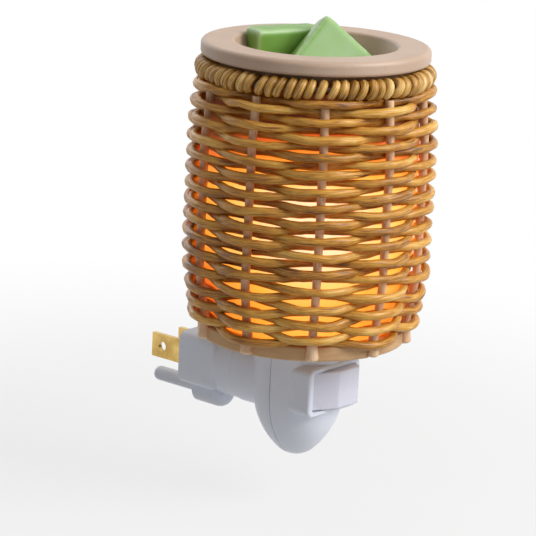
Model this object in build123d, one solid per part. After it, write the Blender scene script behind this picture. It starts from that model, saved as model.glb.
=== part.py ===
from build123d import *
import math
import os

# Plug-in wax melt warmer with a woven cane shade, in millimetres.
# The origin is on the plug's wall face, midway between the two flat blades.
# +Y goes into the wall, -Y is the front, where the shade stands, and +Z is up.
# Most pieces are built about the shade's axis, or about the plug's swivel axis with "out" as the
# distance from the wall, and are then put in place.

# Running and seating clearances
SWIVEL_CLEAR = 0.06
SWIVEL_GAP = 0.25
SEAT_GAP = 0.05
LIFT_GAP = 0.45
SEAM_GAP = 0.25
ROCKER_GAP = 0.8
ROCKER_SIDE_GAP = 0.3
TRUNNION_CLEAR = 0.06
THREAD_CLEAR = 0.06
CONTACT_GAP = 0.15
CUT_PAST = 1.0

# Wall plug
BLADE_PITCH = 12.7
BLADE_THICK = 1.5
LIVE_BLADE_WIDTH = 6.35
NEUTRAL_BLADE_WIDTH = 7.9
BLADE_REACH = 16.5
BLADE_ROOT = 8.0
BLADE_HOLE_R = 1.6
BLADE_HOLE_OUT = 11.7
BLADE_TIP_CHAMFER = 0.45
PIN_DROP = 11.9
PIN_R = 2.38
PIN_REACH = 20.0
PIN_ROOT = 7.0
PIN_ROOT_R = 2.0
PIN_RELIEF = 0.2
PIN_NOSE_R = 1.9
PLUG_WIDTH = 24.0
PLUG_HEIGHT = 17.0
PLUG_DEPTH = 14.0
PLUG_CORNER_R = 2.8
PLUG_EDGE_R = 1.2
LOBE_R = 5.0
LOBE_DEPTH = 12.0
LOBE_NOSE_R = 3.6
COLLAR_R = 11.5
COLLAR_LENGTH = 7.3
COLLAR_EDGE_R = 0.5

# Swivel between the plug and the housing
HUB_R = 5.9
CLIP_ROOM = 1.2
CLIP_THICK = 1.0
CLIP_GROOVE = 0.9
CLIP_MOUTH = 6.5
HUB_NOSE = 1.4
CONTACT_THICK = 0.6
LIVE_DISC_R = 1.9
NEUTRAL_RING_R = 4.4
NEUTRAL_RING_WIDTH = 1.4
LIVE_TAIL_R = 0.9
TAIL_R = 0.6
STRIP_HEIGHT = 4.0
STRIP_THICK = 1.5

# Housing under the shade, in two half shells that meet on the shade's axis
SHADE_OUT = 40.3
HOUSING_R = 14.2
HOUSING_WALL = 1.8
HOUSING_BOTTOM = -24.8
SIDE_ARC_R = 26.0
NOSE_R = 8.5
NECK_STEP = 2.4
NECK_WALL = 2.2
NECK_END = 2.4
NECK_BLEND_R = 1.6
FINGER_SPRING = 2.8
CARRIER_THICK = 1.6
CARRIER_HEIGHT = 10.0
FINGER_THICK = 0.4
FINGER_HEIGHT = 3.0
FINGER_TAIL = 2.4
SHELL_SCREW_X = 5.5
SHELL_SCREW_Z = -15.0
SHELL_BOSS_R = 2.5
SHELL_BOSS_FRONT = 7.0
SHELL_SCREW_SEAT = 3.0

# Rocker switch on the front, turning about an upright axis
SWITCH_FRAME_WIDTH = 25.0
SWITCH_FRAME_HEIGHT = 16.0
SWITCH_FRAME_OUT = 14.5
SWITCH_FRAME_CORNER_R = 2.6
SWITCH_FRAME_EDGE_R = 0.9
SWITCH_WELL_BACK = 3.5
WELL_CORNER_R = 1.0
ROCKER_LENGTH = 19.4
ROCKER_HEIGHT = 12.2
ROCKER_RIDGE_OUT = 17.4
ROCKER_BACK_OUT = 10.6
ROCKER_PIVOT_OUT = 12.0
ROCKER_TILT = 13.0
ROCKER_EDGE_R = 0.6
ROCKER_RIDGE_R = 2.0
TRUNNION_R = 1.0
TRUNNION_LENGTH = 1.0
SWITCH_CASE_DEPTH = 3.9
SWITCH_CASE_SEAT = 0.7
TERMINAL_X = 4.2
LEAD_ROOM = 4.5
TERMINAL_HEIGHT = 4.8
TERMINAL_THICK = 0.8
LEAD_R = 0.8
LEAD_BEND_R = 1.2
LEAD_BACK = 2.8

# Lamp holder and lamp, with a small screw base
BULB_THREAD_R = 5.85
SLEEVE_WALL = 0.4
SLEEVE_HEIGHT = 14.0
HOLDER_WALL = 1.8
HOLDER_FLOOR = 2.0
HOLDER_BOTTOM = 8.0
HOLDER_HEIGHT = 18.6
HOLDER_FLANGE = 2.4
HOLDER_RIB = 1.75
TAB_LENGTH = 3.4
TAB_WIDTH = 2.5
TAB_THICK = 0.5
LAMP_CONTACT_R = 2.2
BULB_TIP_R = 2.6
BULB_TIP_HEIGHT = 2.0
BULB_BASE_HEIGHT = 13.4
BULB_BASE_WALL = 0.3
BULB_R = 11.0
BULB_LENGTH = 37.0
BULB_BELLY_UP = 17.0
BULB_NECK_R = 5.2
BULB_CROWN_R = 5.0
BULB_GLASS = 0.7
BULB_GLASS_SUNK = 4.0
STEM_R = 1.7
STEM_HEIGHT = 12.0
STEM_FOOT = 2.0
FILAMENT_R = 0.25
FILAMENT_SPAN = 6.0
FILAMENT_RISE = 9.0
FILAMENT_BEND_R = 1.0

# Base disc, liner and seat of the shade
BASE_R = 32.6
BASE_BOTTOM = 14.7
BASE_THICK = 4.7
BASE_EDGE_R = 0.8
BASE_SCREW_RING_R = 11.3
BASE_SCREW_COUNT = 4
BASE_SCREW_AZIMUTH = 45.0
BASE_SCREW_LENGTH = 8.6
SPIGOT_HEIGHT = 2.0
SPIGOT_WIDTH = 3.0
LINER_CLEAR = 0.3
LINER_WALL = 1.2
SEAT_THICK = 1.8
SEAT_REACH = 3.3
SEAT_SKIRT = 4.0
SEAT_SKIRT_THICK = 0.95

# Screws
SCREW_R = 1.1
SCREW_HEAD_R = 2.1
SCREW_HEAD_HEIGHT = 1.4
SCREW_HEAD_EDGE_R = 0.84
SCREW_POINT = 0.55
SCREW_SLOT_LENGTH = 2.73
SCREW_SLOT_WIDTH = 0.5
SCREW_SLOT_DEPTH = 0.6

# Woven shade: upright stakes, strands that pass outside and inside them in turn, and a border
STAKE_COUNT = 10
STAKE_R = 1.35
STAKE_BEND_R = 30.0
STAKE_AZIMUTH = 225.0
STUB_PROUD = 0.2
STUB_RISE = 0.5
BELLY_R = 35.4
BELLY_LOW = 38.0
BELLY_HIGH = 78.0
STRAND_R = 1.2
WEAVE_GAP = 0.15
ROW_PITCH = 2.5
WEAVE_BEND_RATIO = 0.45
HOOP_R = 33.7
HOOP_TUBE_R = 1.2
WRAP_R = 1.15
WRAPS_PER_BAY = 7
WRAP_PITCH_DEG = 4.65
WRAP_SLANT = 20.0
WRAP_OPENING = 60.0
WRAP_OPENING_AT = 225.0
BORDER_GAP = 0.4

# Dish on top, and the wax pieces in it
DISH_TOP = 107.0
DISH_RIM_R = 35.3
DISH_RIM_THICK = 4.6
DISH_MOUTH_R = 25.2
DISH_FLOOR_R = 20.0
DISH_DEPTH = 13.4
DISH_WALL = 2.6
DISH_EDGE_R = 1.6
DISH_LOW_EDGE_R = 1.12
DISH_MOUTH_EDGE_R = 1.2
DISH_FLOOR_BEND_R = 3.0
WAX_GAP = 0.35
WAX_SIDE_GAP = 0.52
FLAT_MELT_LENGTH = 23.6
FLAT_MELT_WIDTH = 9.2
FLAT_MELT_BACK = 12.4
FLAT_MELT_LEFT = 1.45
FLAT_MELT_PROUD = 2.0
FLAT_MELT_TURN = -20.1
LEANING_MELT_SIDE = 20.0
LEANING_MELT_THICK = 7.5
LEANING_MELT_PEAK = (7.9, 2.4, 7.6)
LEANING_MELT_AZIMUTH = -26.2
LEANING_MELT_LEAN = 24.3

# Places that follow from the sizes above
BLADE_X = BLADE_PITCH / 2
COLLAR_OUT = PLUG_DEPTH + COLLAR_LENGTH
NECK_OUT = COLLAR_OUT + SWIVEL_GAP
NECK_INSIDE = NECK_OUT + NECK_END
NECK_R = HOUSING_R - NECK_STEP
NECK_BORE_R = NECK_R - NECK_WALL
CLIP_R = NECK_BORE_R - CLIP_ROOM
CLIP_OUT = NECK_INSIDE + SWIVEL_GAP
HUB_OUT = CLIP_OUT + CLIP_THICK + HUB_NOSE
CLIP_BORE_R = HUB_R - CLIP_GROOVE
RING_MID_R = NEUTRAL_RING_R - NEUTRAL_RING_WIDTH / 2
CONTACT_OUT = HUB_OUT + CONTACT_THICK
CARRIER_OUT = CONTACT_OUT + FINGER_SPRING
CARRIER_FRONT = CARRIER_OUT + CARRIER_THICK
TAIL_OUT = CARRIER_FRONT + FINGER_TAIL
LIVE_TAIL_X = LIVE_DISC_R + TAIL_R
FRAME_OUT = SHADE_OUT + SWITCH_FRAME_OUT
WELL_OUT = SHADE_OUT + SWITCH_WELL_BACK
WELL_LENGTH = ROCKER_LENGTH + 2 * ROCKER_GAP
WELL_HEIGHT = ROCKER_HEIGHT + 2 * ROCKER_SIDE_GAP
CASE_OUT = WELL_OUT + SWITCH_CASE_SEAT
TERMINAL_OUT = TAIL_OUT + LEAD_ROOM
TERMINAL_LENGTH = CASE_OUT - TERMINAL_OUT
PIVOT_OUT = SHADE_OUT + ROCKER_PIVOT_OUT
SLEEVE_BORE_R = BULB_THREAD_R + THREAD_CLEAR
SLEEVE_R = SLEEVE_BORE_R + SLEEVE_WALL
HOLDER_BORE_R = SLEEVE_R + SEAT_GAP
HOLDER_R = HOLDER_BORE_R + HOLDER_WALL
HOLDER_FLOOR_TOP = HOLDER_BOTTOM + HOLDER_FLOOR
HOLDER_HOLE_R = HOLDER_R + SEAT_GAP
HOUSING_CEILING = HOLDER_FLOOR_TOP + SEAT_GAP
TAB_BOTTOM = HOLDER_BOTTOM - TAB_LENGTH
SLEEVE_TAB_X = -(SLEEVE_BORE_R + SLEEVE_WALL / 2)
LAMP_CONTACT_TOP = HOLDER_FLOOR_TOP + TAB_THICK
BULB_TIP_BOTTOM = LAMP_CONTACT_TOP + CONTACT_GAP
BULB_BASE_BOTTOM = BULB_TIP_BOTTOM + BULB_TIP_HEIGHT
BULB_BASE_TOP = BULB_BASE_BOTTOM + BULB_BASE_HEIGHT
BULB_GLASS_BOTTOM = BULB_BASE_TOP - BULB_GLASS_SUNK
BASE_TOP = BASE_BOTTOM + BASE_THICK
STUB_R = BASE_R + STUB_PROUD
BAY_DEG = 360.0 / STAKE_COUNT
WEAVE_SWING = STAKE_R + STRAND_R + WEAVE_GAP
LINER_INSET = WEAVE_SWING + STRAND_R + LINER_CLEAR
LINER_R = STUB_R - LINER_INSET
LINER_BELLY_R = BELLY_R - LINER_INSET
LINER_BORE_R = LINER_R - LINER_WALL
RIM_BOTTOM = DISH_TOP - DISH_RIM_THICK
LINER_TOP = RIM_BOTTOM - SEAT_THICK
WRAP_LOOP_R = HOOP_TUBE_R / math.cos(math.radians(WRAP_SLANT)) + 2 * SEAT_GAP + WRAP_R
BORDER_HALF = WRAP_LOOP_R + WRAP_R
HOOP_Z = RIM_BOTTOM - BORDER_GAP - BORDER_HALF
STAKE_TOP = HOOP_Z - BORDER_HALF
FIRST_ROW_Z = BASE_TOP + STRAND_R + WEAVE_GAP
ROW_COUNT = int((STAKE_TOP - STRAND_R - FIRST_ROW_Z) / ROW_PITCH) + 1
DISH_FLOOR_Z = DISH_TOP - DISH_DEPTH
BOWL_R = LINER_BORE_R - LIFT_GAP

LOW = (Align.CENTER, Align.CENTER, Align.MIN)
pieces = {}


def about_shade(shape):
    """Put a shape that was built about the Z axis on the shade's axis."""
    return Pos(0, -SHADE_OUT, 0) * shape


def about_swivel(shape):
    """Turn a shape built with z as the distance out from the wall, x across and y up."""
    return Rot(90, 0, 0) * shape


def rod(radius, length):
    """Cylinder that stands on the XY plane."""
    return Cylinder(radius, length, align=LOW)


def ring(outer, inner, height):
    """Plain ring that stands on the XY plane."""
    return rod(outer, height) - rod(inner, height)


def turned(*edges):
    """Solid of revolution about Z from edges given as (radius, height)."""
    return revolve(Plane.XZ * make_face(list(edges)), Axis.Z)


def turned_outline(points, bends=()):
    """Solid of revolution from (radius, height) points, with (point, radius) bends at some corners."""
    face = make_face(Polyline(*points, close=True))
    for corner, radius in bends:
        face = fillet(face.vertices().sort_by_distance((*corner, 0))[0], radius)
    return revolve(Plane.XZ * face, Axis.Z)


def screw(length):
    """Pan-head screw along Z, its head standing on the XY plane and its shank below."""
    head = rod(SCREW_HEAD_R, SCREW_HEAD_HEIGHT)
    head = fillet(head.edges().sort_by(Axis.Z)[-1], SCREW_HEAD_EDGE_R)
    slot = Box(SCREW_SLOT_LENGTH, SCREW_SLOT_WIDTH, SCREW_SLOT_DEPTH * 2)
    cross = Pos(0, 0, SCREW_HEAD_HEIGHT) * (slot + Rot(0, 0, 90) * slot)
    shank = Pos(0, 0, -length) * rod(SCREW_R, length)
    shank = chamfer(shank.edges().sort_by(Axis.Z)[0], SCREW_POINT)
    return head + shank - cross


def lead(points, bend):
    """Insulated wire along points given as (across, out, up)."""
    route = FilletPolyline(*[(x, -out, up) for x, out, up in points], radius=bend)
    return sweep(Plane(route @ 0, z_dir=route % 0) * Circle(LEAD_R), path=route)


# Plug: block, pin, blades and the contacts that carry current through the swivel
def blade(width, side):
    length = BLADE_REACH + BLADE_ROOT
    bar = Box(BLADE_THICK, length, width)
    tip = bar.faces().sort_by(Axis.Y)[-1].edges()
    bar = chamfer(tip, BLADE_TIP_CHAMFER)
    hole = Rot(0, 90, 0) * Cylinder(BLADE_HOLE_R, BLADE_THICK * 2)
    bar = Pos(0, BLADE_REACH - length / 2, 0) * bar - Pos(0, BLADE_HOLE_OUT, 0) * hole
    return Pos(side * BLADE_X, 0, 0) * bar


def swivel_contact(side, tail_x, tail_radius, face):
    """Strip from a blade's root, a tail through the hub and the contact face on the hub's end."""
    start = side * (BLADE_X - BLADE_THICK / 2)
    reach = abs(start - tail_x) + tail_radius
    strip_out = BLADE_ROOT - STRIP_THICK
    strip = Pos(start - side * reach / 2, 0, strip_out) * Box(reach, STRIP_HEIGHT, STRIP_THICK, align=LOW)
    tail = Pos(tail_x, 0, strip_out) * rod(tail_radius, HUB_OUT - strip_out)
    return about_swivel(strip + tail + Pos(0, 0, HUB_OUT) * face)


def plug_pin():
    """Round pin with a thinner root, which starts a little outside the block."""
    shaft = rod(PIN_R, PIN_REACH - PIN_RELIEF)
    shaft = fillet(shaft.edges().sort_by(Axis.Z)[0], PIN_NOSE_R)
    root = Pos(0, 0, PIN_REACH - PIN_RELIEF) * rod(PIN_ROOT_R, PIN_RELIEF + PIN_ROOT)
    return about_swivel(Pos(0, -PIN_DROP, -PIN_REACH) * (shaft + root))


def plug_block(cavities):
    block = extrude(RectangleRounded(PLUG_WIDTH, PLUG_HEIGHT, PLUG_CORNER_R), PLUG_DEPTH)
    block = fillet(block.faces().sort_by(Axis.Z)[-1].edges(), PLUG_EDGE_R)
    lobe = rod(LOBE_R, LOBE_DEPTH)
    lobe = fillet(lobe.edges().sort_by(Axis.Z)[-1], LOBE_NOSE_R)
    collar_back = PLUG_DEPTH - PLUG_EDGE_R
    collar = rod(COLLAR_R, COLLAR_OUT - collar_back)
    collar = fillet(collar.edges().sort_by(Axis.Z)[-1], COLLAR_EDGE_R)
    hub = rod(HUB_R, HUB_OUT - collar_back)
    hub -= Pos(0, 0, CLIP_OUT - collar_back) * ring(HUB_R * 2, CLIP_BORE_R, CLIP_THICK)
    body = block + Pos(0, -PIN_DROP, 0) * lobe + Pos(0, 0, collar_back) * (collar + hub)
    body = about_swivel(body)
    for cavity in cavities:
        body -= cavity
    return body


def swivel_clip():
    clip = ring(CLIP_R, CLIP_BORE_R + SEAT_GAP, CLIP_THICK)
    clip -= Pos(0, -CLIP_R / 2, 0) * Box(CLIP_MOUTH, CLIP_R, CLIP_THICK * 3)
    return about_swivel(Pos(0, 0, CLIP_OUT) * clip)


def make_plug():
    live = blade(LIVE_BLADE_WIDTH, 1)
    neutral = blade(NEUTRAL_BLADE_WIDTH, -1)
    disc = rod(LIVE_DISC_R, CONTACT_THICK)
    contact_ring = ring(NEUTRAL_RING_R, NEUTRAL_RING_R - NEUTRAL_RING_WIDTH, CONTACT_THICK)
    live_contact = swivel_contact(1, 0, LIVE_TAIL_R, disc)
    neutral_contact = swivel_contact(-1, -RING_MID_R, TAIL_R, contact_ring)
    pin = plug_pin()
    pieces["live_blade"] = live
    pieces["neutral_blade"] = neutral
    pieces["live_swivel_contact"] = live_contact
    pieces["neutral_swivel_contact"] = neutral_contact
    pieces["stabiliser_pin"] = pin
    pieces["plug_block"] = plug_block([live, neutral, live_contact, neutral_contact, pin])
    pieces["swivel_clip"] = swivel_clip()


# Housing: two half shells with the neck, the switch frame and the lamp holder's seat
def housing_form(inset, top):
    """Round housing about its axis, drawn in by the inset and cut level at the top."""
    nose_z = HOUSING_BOTTOM + NOSE_R
    side_x = HOUSING_R - SIDE_ARC_R
    rise = math.sqrt((SIDE_ARC_R - NOSE_R) ** 2 - side_x**2)
    side_z = nose_z + rise
    turn = math.degrees(math.atan2(rise, -side_x))
    side = CenterArc((side_x, side_z), SIDE_ARC_R - inset, 0, -turn)
    nose = CenterArc((0, nose_z), NOSE_R - inset, -turn, turn - 90)
    wall = Line((HOUSING_R - inset, top), (HOUSING_R - inset, side_z))
    lid = Line((0, top), (HOUSING_R - inset, top))
    axis = Line((0, HOUSING_BOTTOM + inset), (0, top))
    return turned(lid, wall, side, nose, axis)


def half_space(front):
    """Everything in front of the seam, or behind it."""
    reach = 4 * SHADE_OUT
    middle = -SHADE_OUT + (reach + SEAM_GAP) / 2 * (-1 if front else 1)
    return Pos(0, middle, 0) * Box(reach, reach, reach)


def housing_outside():
    neck = about_swivel(Pos(0, 0, NECK_OUT) * rod(NECK_R, SHADE_OUT - NECK_OUT))
    body = about_shade(housing_form(0, BASE_BOTTOM)) + neck
    meeting = [e for e in body.edges() if e.geom_type not in (GeomType.CIRCLE, GeomType.LINE)]
    return fillet(meeting, NECK_BLEND_R)


def housing_inside():
    cavity = housing_form(HOUSING_WALL, HOUSING_CEILING)
    rib_top = HOLDER_BOTTOM - SEAT_GAP
    cavity -= Pos(0, 0, rib_top - HOLDER_RIB) * ring(HOUSING_R, HOLDER_HOLE_R, HOLDER_RIB)
    cavity += Pos(0, 0, HOUSING_CEILING) * rod(HOLDER_HOLE_R, BASE_THICK * 2)
    cavity_back = math.sqrt((HOUSING_R - HOUSING_WALL) ** 2 - SLEEVE_TAB_X**2)
    bore_end = max(CARRIER_FRONT, SHADE_OUT - cavity_back + SEAT_GAP)
    neck_bore = Pos(0, 0, NECK_INSIDE) * rod(NECK_BORE_R, bore_end - NECK_INSIDE)
    hub_bore = Pos(0, 0, NECK_OUT - CUT_PAST) * rod(HUB_R + SWIVEL_CLEAR, NECK_END + 2 * CUT_PAST)
    return about_shade(cavity) + about_swivel(neck_bore + hub_bore)


def shell_screw_places():
    return [Pos(x, SHELL_SCREW_Z, 0) for x in (-SHELL_SCREW_X, SHELL_SCREW_X)]


def base_screw_places():
    return PolarLocations(BASE_SCREW_RING_R, BASE_SCREW_COUNT, start_angle=BASE_SCREW_AZIMUTH)


def base_screw_holes():
    """Holes for the screws that hold the base disc on the housing, from the top down."""
    drop = BASE_SCREW_LENGTH - BASE_THICK + SEAT_GAP
    hole = Pos(0, 0, BASE_BOTTOM - drop) * rod(SCREW_R + SEAT_GAP, drop + BASE_THICK)
    return [about_shade(place * hole) for place in base_screw_places()]


def rear_shell(outside, inside):
    back = outside & half_space(False)
    shell = back - inside
    seat_out = SHADE_OUT - SHELL_SCREW_SEAT
    for place in shell_screw_places():
        shell += about_swivel(place * rod(SHELL_BOSS_R, SHADE_OUT)) & back
        shell -= about_swivel(place * rod(SCREW_R + SEAT_GAP, SHADE_OUT))
        shell -= about_swivel(place * rod(SCREW_HEAD_R + SEAT_GAP, seat_out))
    for hole in base_screw_holes():
        shell -= hole
    return shell


def switch_frame():
    """Rounded box for the switch, from inside the housing to the frame's front."""
    front = RectangleRounded(SWITCH_FRAME_WIDTH, SWITCH_FRAME_HEIGHT, SWITCH_FRAME_CORNER_R)
    box = extrude(front, FRAME_OUT - WELL_OUT)
    box = fillet(box.faces().sort_by(Axis.Z)[-1].edges(), SWITCH_FRAME_EDGE_R)
    return about_swivel(Pos(0, 0, WELL_OUT) * box)


def switch_well():
    mouth = RectangleRounded(WELL_LENGTH, WELL_HEIGHT, WELL_CORNER_R)
    well = extrude(mouth, FRAME_OUT - WELL_OUT + 2 * CUT_PAST)
    return about_swivel(Pos(0, 0, WELL_OUT - CUT_PAST) * well)


def trunnions(radius, length):
    return Pos(0, -PIVOT_OUT, 0) * Cylinder(radius, ROCKER_HEIGHT + 2 * length)


def front_shell(outside, inside):
    front = outside & half_space(True)
    shell = front - inside
    for place in shell_screw_places():
        boss = Pos(0, 0, SHADE_OUT) * rod(SHELL_BOSS_R, SHELL_BOSS_FRONT)
        shell += about_swivel(place * boss) & front
    for place in shell_screw_places():
        hole = Pos(0, 0, SHADE_OUT) * rod(SCREW_R + SEAT_GAP, SHELL_BOSS_FRONT - HOUSING_WALL)
        shell -= about_swivel(place * hole)
    shell += switch_frame()
    shell -= switch_well()
    shell -= trunnions(TRUNNION_R + TRUNNION_CLEAR, TRUNNION_LENGTH + TRUNNION_CLEAR)
    for hole in base_screw_holes():
        shell -= hole
    return shell


def shell_screws():
    length = SHELL_SCREW_SEAT + SHELL_BOSS_FRONT - HOUSING_WALL - SEAT_GAP * 2
    seat = Pos(0, 0, SHADE_OUT - SHELL_SCREW_SEAT)
    fastener = seat * Rot(180, 0, 0) * screw(length)
    return Compound([about_swivel(place * fastener) for place in shell_screw_places()])


def finger(tail_x, pad_x, pad_half):
    """Springy contact: a tail through the carrier, bent back to press on the hub's contact."""
    pad_out = CONTACT_OUT + CONTACT_GAP + FINGER_THICK / 2
    bend_out = CARRIER_OUT - FINGER_THICK * 2
    side = 1 if pad_x > tail_x else -1
    path = Polyline((tail_x, TAIL_OUT), (tail_x, bend_out), (pad_x - side * pad_half, pad_out),
                    (pad_x + side * pad_half, pad_out))
    strip = trace(path, FINGER_THICK)
    solid = extrude(strip, FINGER_HEIGHT / 2, both=True)
    return Rot(180, 0, 0) * solid


def finger_tails():
    return [(LIVE_TAIL_X, 0), (SLEEVE_TAB_X, -RING_MID_R)]


def contact_carrier():
    disc = rod(NECK_BORE_R - SEAT_GAP, CARRIER_THICK)
    disc &= Box(NECK_R * 2, CARRIER_HEIGHT, CARRIER_THICK * 3)
    for tail_x, _ in finger_tails():
        slot = Box(FINGER_THICK + 2 * SEAT_GAP, FINGER_HEIGHT + 2 * SEAT_GAP, CARRIER_THICK * 3)
        disc -= Pos(tail_x, 0, 0) * slot
    return about_swivel(Pos(0, 0, CARRIER_OUT) * disc)


def make_housing():
    outside = housing_outside()
    inside = housing_inside()
    pieces["rear_shell"] = rear_shell(outside, inside)
    pieces["front_shell"] = front_shell(outside, inside)
    pieces["shell_screws"] = shell_screws()
    pieces["contact_carrier"] = contact_carrier()
    for name, (tail_x, pad_x) in zip(("live_finger", "neutral_finger"), finger_tails()):
        pieces[name] = finger(tail_x, pad_x, NEUTRAL_RING_WIDTH / 2)


# Switch and the wires to it
def rocker():
    half = ROCKER_LENGTH / 2
    slope = half * math.tan(math.radians(ROCKER_TILT))
    outline = [(-half, ROCKER_BACK_OUT), (-half, ROCKER_RIDGE_OUT - slope), (0, ROCKER_RIDGE_OUT),
               (half, ROCKER_RIDGE_OUT - slope), (half, ROCKER_BACK_OUT)]
    face = make_face(Polyline(*[(x, -SHADE_OUT - out) for x, out in outline], close=True))
    body = extrude(face, ROCKER_HEIGHT / 2, both=True)
    ridge = body.edges().filter_by(Axis.Z).sort_by(Axis.Y)[0]
    body = fillet(ridge, ROCKER_RIDGE_R)
    front = body.faces().sort_by(Axis.Y)[:3]
    edges = [edge for face in front for edge in face.edges()]
    rim = [e for e in edges if max(abs(e.center().X), abs(e.center().Z)) > ROCKER_RIDGE_R]
    body = fillet(rim, ROCKER_EDGE_R)
    body += trunnions(TRUNNION_R, TRUNNION_LENGTH)
    pivot = Pos(0, -PIVOT_OUT, 0)
    return pivot * Rot(0, 0, -ROCKER_TILT) * pivot.inverse() * body


def make_switch():
    pieces["switch_rocker"] = rocker()
    case = Box(WELL_LENGTH - 2 * SEAT_GAP, WELL_HEIGHT - 2 * SEAT_GAP, SWITCH_CASE_DEPTH, align=LOW)
    case = fillet(case.edges().filter_by(Axis.Z), WELL_CORNER_R)
    pieces["switch_case"] = about_swivel(Pos(0, 0, CASE_OUT) * case)
    prong = Box(TERMINAL_THICK, TERMINAL_HEIGHT, TERMINAL_LENGTH, align=LOW)
    pieces["switch_terminals"] = Compound(
        [about_swivel(Pos(x, 0, TERMINAL_OUT) * prong) for x in (-TERMINAL_X, TERMINAL_X)])
    swing = (TAIL_OUT + TERMINAL_OUT) / 2
    pieces["live_lead"] = lead(
        [(LIVE_TAIL_X, TAIL_OUT, 0), (LIVE_TAIL_X, swing - LEAD_R, 0), (TERMINAL_X, swing + LEAD_R, 0),
         (TERMINAL_X, TERMINAL_OUT, 0)], LEAD_R)
    back = min(TERMINAL_OUT, SHADE_OUT) - LEAD_BACK
    pieces["switched_lead"] = lead(
        [(-TERMINAL_X, TERMINAL_OUT, 0), (-TERMINAL_X, back, 0), (0, back, 0), (0, SHADE_OUT, 0),
         (0, SHADE_OUT, TAB_BOTTOM)], LEAD_BEND_R)
    pieces["neutral_lead"] = lead(
        [(SLEEVE_TAB_X, TAIL_OUT, 0), (SLEEVE_TAB_X, SHADE_OUT, 0), (SLEEVE_TAB_X, SHADE_OUT, TAB_BOTTOM)],
        LEAD_BEND_R)


# Lamp holder and lamp
def tab(height):
    return Box(TAB_WIDTH, TAB_THICK, height, align=LOW)


def lamp_holder():
    body = rod(HOLDER_R, HOLDER_HEIGHT) + rod(HOLDER_R + HOLDER_FLANGE, HOLDER_FLOOR)
    body -= Pos(0, 0, HOLDER_FLOOR) * rod(HOLDER_BORE_R, HOLDER_HEIGHT)
    body = Pos(0, 0, HOLDER_BOTTOM) * body
    slot = Box(TAB_WIDTH + 2 * SEAT_GAP, TAB_THICK + 2 * SEAT_GAP, HOLDER_BOTTOM * 4)
    body -= slot
    body -= Pos(SLEEVE_TAB_X, 0, 0) * Rot(0, 0, 90) * slot & rod(HOLDER_BORE_R, HOLDER_FLOOR_TOP)
    return about_shade(body)


def lamp_sleeve():
    sleeve = Pos(0, 0, HOLDER_FLOOR_TOP) * ring(SLEEVE_R, SLEEVE_BORE_R, SLEEVE_HEIGHT)
    leg = Pos(SLEEVE_TAB_X, 0, TAB_BOTTOM) * Rot(0, 0, 90) * tab(HOLDER_FLOOR_TOP + SLEEVE_WALL - TAB_BOTTOM)
    leg &= rod(SLEEVE_R, HOLDER_FLOOR_TOP * 2)
    leg -= Pos(0, 0, HOLDER_FLOOR_TOP) * rod(SLEEVE_BORE_R, HOLDER_FLOOR_TOP)
    return about_shade(sleeve + leg)


def lamp_contact():
    button = Pos(0, 0, HOLDER_FLOOR_TOP) * rod(LAMP_CONTACT_R, TAB_THICK)
    leg = Pos(0, 0, TAB_BOTTOM) * tab(HOLDER_FLOOR_TOP + TAB_THICK - TAB_BOTTOM)
    return about_shade(button + leg)


def bulb_tip():
    tip = Cone(BULB_TIP_R, BULB_THREAD_R - BULB_BASE_WALL, BULB_TIP_HEIGHT, align=LOW)
    return about_shade(Pos(0, 0, BULB_TIP_BOTTOM) * tip)


def bulb_base():
    shell = ring(BULB_THREAD_R, BULB_THREAD_R - BULB_BASE_WALL, BULB_BASE_HEIGHT)
    return about_shade(Pos(0, 0, BULB_BASE_BOTTOM) * shell)


def bulb_form(inset, bottom):
    """Night-light lamp glass: a neck, a belly and a blunt top."""
    belly_z = BULB_BASE_TOP + BULB_BELLY_UP
    top_z = BULB_BASE_TOP + BULB_LENGTH
    neck = (BULB_NECK_R - inset, BULB_BASE_TOP + BULB_GLASS)
    belly = (BULB_R - inset, belly_z)
    low = (BULB_NECK_R - inset, bottom)
    crown_z = top_z - BULB_CROWN_R
    rise = crown_z - belly_z
    side_r = (BULB_R**2 + rise**2 - BULB_CROWN_R**2) / (2 * (BULB_R - BULB_CROWN_R))
    turn = math.degrees(math.atan2(rise, side_r - BULB_R))
    side = CenterArc((BULB_R - side_r, belly_z), side_r - inset, 0, turn)
    crown = CenterArc((0, crown_z), BULB_CROWN_R - inset, turn, 90 - turn)
    flare = TangentArc(belly, neck, tangent=(0, -1))
    return turned(Line((0, bottom), low), Line(low, neck), flare, side, crown,
                  Line((0, top_z - inset), (0, bottom)))


def bulb_glass():
    outer = bulb_form(0, BULB_GLASS_BOTTOM)
    inner = bulb_form(BULB_GLASS, BULB_GLASS_BOTTOM - CUT_PAST)
    return about_shade(outer - inner)


def bulb_stem():
    stem = rod(STEM_R, STEM_HEIGHT)
    stem += rod(BULB_NECK_R - BULB_GLASS - SEAT_GAP, STEM_FOOT)
    return about_shade(Pos(0, 0, BULB_GLASS_BOTTOM) * stem)


def bulb_filament():
    low = BULB_GLASS_BOTTOM + STEM_HEIGHT
    high = low + FILAMENT_RISE
    half = FILAMENT_SPAN / 2
    foot = STEM_R / 2
    corners = [(-foot, 0, low), (-half, 0, high), (half, 0, high), (foot, 0, low)]
    route = FilletPolyline(*corners, radius=FILAMENT_BEND_R)
    wire = sweep(Plane(route @ 0, z_dir=route % 0) * Circle(FILAMENT_R), path=route)
    return about_shade(wire)


def make_lamp():
    pieces["lamp_holder"] = lamp_holder()
    pieces["lamp_sleeve"] = lamp_sleeve()
    pieces["lamp_contact"] = lamp_contact()
    pieces["bulb_tip"] = bulb_tip()
    pieces["bulb_base"] = bulb_base()
    pieces["bulb_glass"] = bulb_glass()
    pieces["bulb_stem"] = bulb_stem()
    pieces["bulb_filament"] = bulb_filament()


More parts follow.
